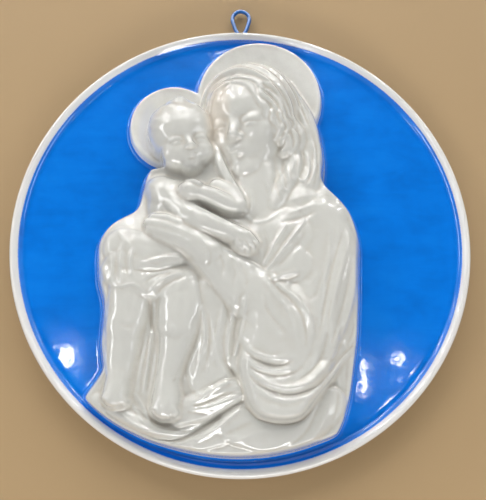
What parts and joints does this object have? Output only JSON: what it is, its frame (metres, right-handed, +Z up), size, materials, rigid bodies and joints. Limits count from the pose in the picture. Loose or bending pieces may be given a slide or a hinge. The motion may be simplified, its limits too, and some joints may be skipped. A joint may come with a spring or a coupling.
{
  "type": "decorative wall plaque",
  "caption": "Round glazed ceramic wall plaque: blue ground, rolled white rim and white mother-and-child relief with haloes, hung by a plastic-coated wire eye.",
  "frame": {"origin": "the nail: the top of the wire eye's inside, on the wall plane", "axes": "+Z up along the wall, +X to the viewer's right, the wall is the plane y = 0 and the plaque faces -Y"},
  "size_m": [0.3, 0.0481, 0.3267],
  "materials": {
    "glazed_ceramic": "clear gloss glaze over white and blue",
    "wire_coating": "smooth"
  },
  "bodies": {
    "root": {"plaque": "glazed_ceramic", "hanging_wire": "wire_coating"}
  },
  "joints": []
}
